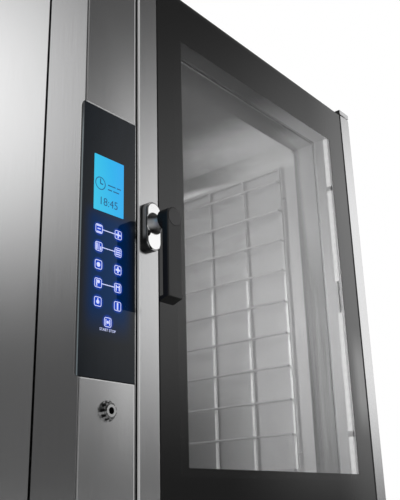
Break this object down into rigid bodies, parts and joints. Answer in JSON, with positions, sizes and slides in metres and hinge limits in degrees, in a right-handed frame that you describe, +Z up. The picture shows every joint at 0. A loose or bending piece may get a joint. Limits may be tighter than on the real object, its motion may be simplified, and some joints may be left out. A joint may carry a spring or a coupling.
{
  "type": "combi oven",
  "caption": "Steel combi oven with a glass door hung on the right, a lever latch handle, a touch control column, racked cavity with fans, vent, drain and levelling feet.",
  "frame": {"origin": "middle of the oven's footprint on the floor, footprint taken from the handle's front to the rear connectors", "axes": "+X to the right seen from the front, +Y from the door to the back, +Z up"},
  "size_m": [0.92, 0.905, 1.178],
  "materials": {
    "brushed_steel": "fine vertical brushing, satin",
    "cavity_steel": "plain rolled stainless, semi-bright",
    "rack_wire": "bright drawn stainless wire",
    "control_glass": "glossy black touch panel",
    "black_moulding": "satin black moulding",
    "circuit_board": "green board",
    "polished_chrome": "mirror chrome",
    "seal_rubber": "black silicone",
    "mineral_wool": "mineral wool",
    "zinc_plate": "galvanised sheet",
    "valve_brass": "turned brass",
    "door_glass": "toughened glass with a dark printed border",
    "clear_glass": "toughened clear glass",
    "light_lens": "frosted light bar",
    "lever_black": "semi-gloss black moulding",
    "motor_grey": "cast aluminium",
    "heater_alloy": "heat-tinted tube",
    "foot_steel": "turned stainless"
  },
  "bodies": {
    "cabinet": {"base_frame": "brushed_steel", "left_side_panel": "brushed_steel", "right_side_panel": "brushed_steel", "top_panel": "brushed_steel", "rear_panel": "brushed_steel", "rear_panel_screws": "brushed_steel", "column_frame": "brushed_steel", "column_upper_plate": "brushed_steel", "column_lower_plate": "brushed_steel", "upper_hinge_bracket": "brushed_steel", "lower_hinge_bracket": "brushed_steel", "drip_gutter": "brushed_steel", "latch_keeper": "brushed_steel", "control_glass": "control_glass", "control_carrier": "black_moulding", "control_board": "circuit_board", "probe_socket": "polished_chrome", "cavity_front_frame": "cavity_steel", "cavity_liner": "cavity_steel", "left_tray_rack": "rack_wire", "right_tray_rack": "rack_wire", "door_seal": "seal_rubber", "insulation": "mineral_wool", "fan_baffle": "cavity_steel", "motor_plate": "zinc_plate", "water_injector": "cavity_steel", "water_valve": "valve_brass", "drain_pipe": "cavity_steel", "drain_strainer": "cavity_steel", "vent_pipe": "cavity_steel", "vent_actuator": "black_moulding", "component_plate": "zinc_plate", "power_components": "black_moulding", "cable_gland": "black_moulding", "cooling_fan_frame": "black_moulding", "hinge_pins": "polished_chrome", "fan_motors": "motor_grey", "heating_elements": "heater_alloy", "cavity_ceiling": "cavity_steel", "drain_elbow": "cavity_steel"},
    "door": {"door_left_stile": "brushed_steel", "door_right_stile": "brushed_steel", "outer_glass": "door_glass", "door_inner_frame": "brushed_steel", "inner_glass": "clear_glass", "inner_glass_clips": "brushed_steel", "light_bars": "light_lens", "hinge_bushes": "valve_brass", "handle_base": "polished_chrome"},
    "handle": {"handle_lever": "lever_black", "handle_cap": "lever_black", "handle_spindle": "polished_chrome"},
    "cooling_fan": {"cooling_fan_rotor": "black_moulding"},
    "flap": {"vent_flap": "cavity_steel"},
    "fan_1": {"fan_wheel_1": "cavity_steel"},
    "fan_2": {"fan_wheel_2": "cavity_steel"},
    "levelling_foot_1": {"foot_1": "foot_steel"},
    "levelling_foot_2": {"foot_2": "foot_steel"},
    "levelling_foot_3": {"foot_3": "foot_steel"},
    "levelling_foot_4": {"foot_4": "foot_steel"}
  },
  "joints": [
    {"name": "door_hinge", "type": "hinge", "parent": "cabinet", "child": "door", "pos_m": [0.442, -0.37355, 0.13], "axis": [0, 0, 1], "range_deg": [0, 120]},
    {"name": "handle_turn", "type": "hinge", "parent": "door", "child": "handle", "pos_m": [-0.31175, -0.39355, 0.6235], "axis": [0, 1, 0], "range_deg": [-90, 90]},
    {"name": "cooling_fan_spin", "type": "hinge", "parent": "cabinet", "child": "cooling_fan", "pos_m": [-0.35, 0.42495, 0.998], "axis": [0, 1, 0], "continuous": true},
    {"name": "vent_flap_turn", "type": "hinge", "parent": "cabinet", "child": "flap", "pos_m": [0.181, 0.16795, 1.118], "axis": [1, 0, 0], "range_deg": [0, 90]},
    {"name": "fan_1_spin", "type": "hinge", "parent": "cabinet", "child": "fan_1", "pos_m": [0.061, 0.25795, 0.428], "axis": [0, 1, 0], "continuous": true},
    {"name": "fan_2_spin", "type": "hinge", "parent": "cabinet", "child": "fan_2", "pos_m": [0.061, 0.25795, 0.838], "axis": [0, 1, 0], "continuous": true},
    {"name": "foot_1_height", "type": "slide", "parent": "cabinet", "child": "levelling_foot_1", "axis": [0, 0, 1], "range_m": [-0.025, 0]},
    {"name": "foot_2_height", "type": "slide", "parent": "cabinet", "child": "levelling_foot_2", "axis": [0, 0, 1], "range_m": [-0.025, 0]},
    {"name": "foot_3_height", "type": "slide", "parent": "cabinet", "child": "levelling_foot_3", "axis": [0, 0, 1], "range_m": [-0.025, 0]},
    {"name": "foot_4_height", "type": "slide", "parent": "cabinet", "child": "levelling_foot_4", "axis": [0, 0, 1], "range_m": [-0.025, 0]}
  ]
}
